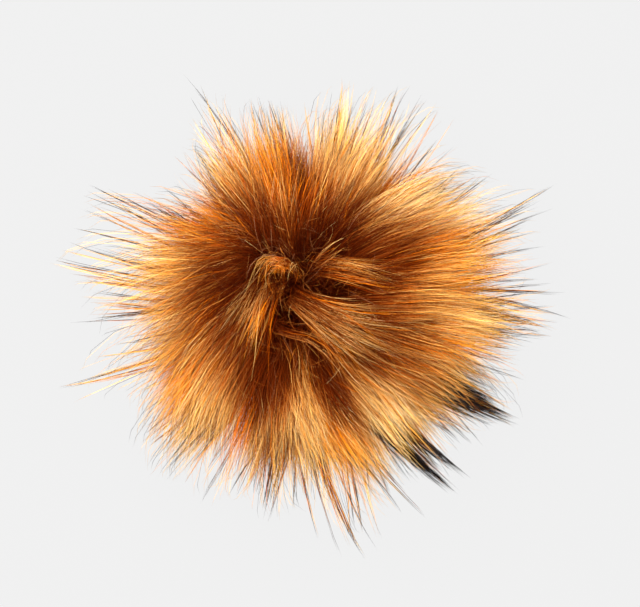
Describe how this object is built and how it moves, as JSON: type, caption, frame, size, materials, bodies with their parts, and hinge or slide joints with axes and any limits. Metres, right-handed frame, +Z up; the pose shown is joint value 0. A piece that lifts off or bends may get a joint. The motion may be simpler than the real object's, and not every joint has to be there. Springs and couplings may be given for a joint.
{
  "type": "pom pom",
  "caption": "Round long-pile faux fur pom pom that rests on a small flattened underside, its pile combed out from a parting at the crown into pointed locks.",
  "frame": {"origin": "middle of the flat spot underneath, on the surface that the pom pom rests on", "axes": "+Z up out of the crown, +X along the longest reach of the pile, +Y across it"},
  "size_m": [0.1482, 0.1381, 0.104],
  "materials": {
    "faux_fur": "soft glossy pile, dark at the root, honey and ginger along its length, dark at the tips of the longest hairs"
  },
  "bodies": {
    "root": {"fur_ball": "faux_fur"}
  },
  "joints": []
}
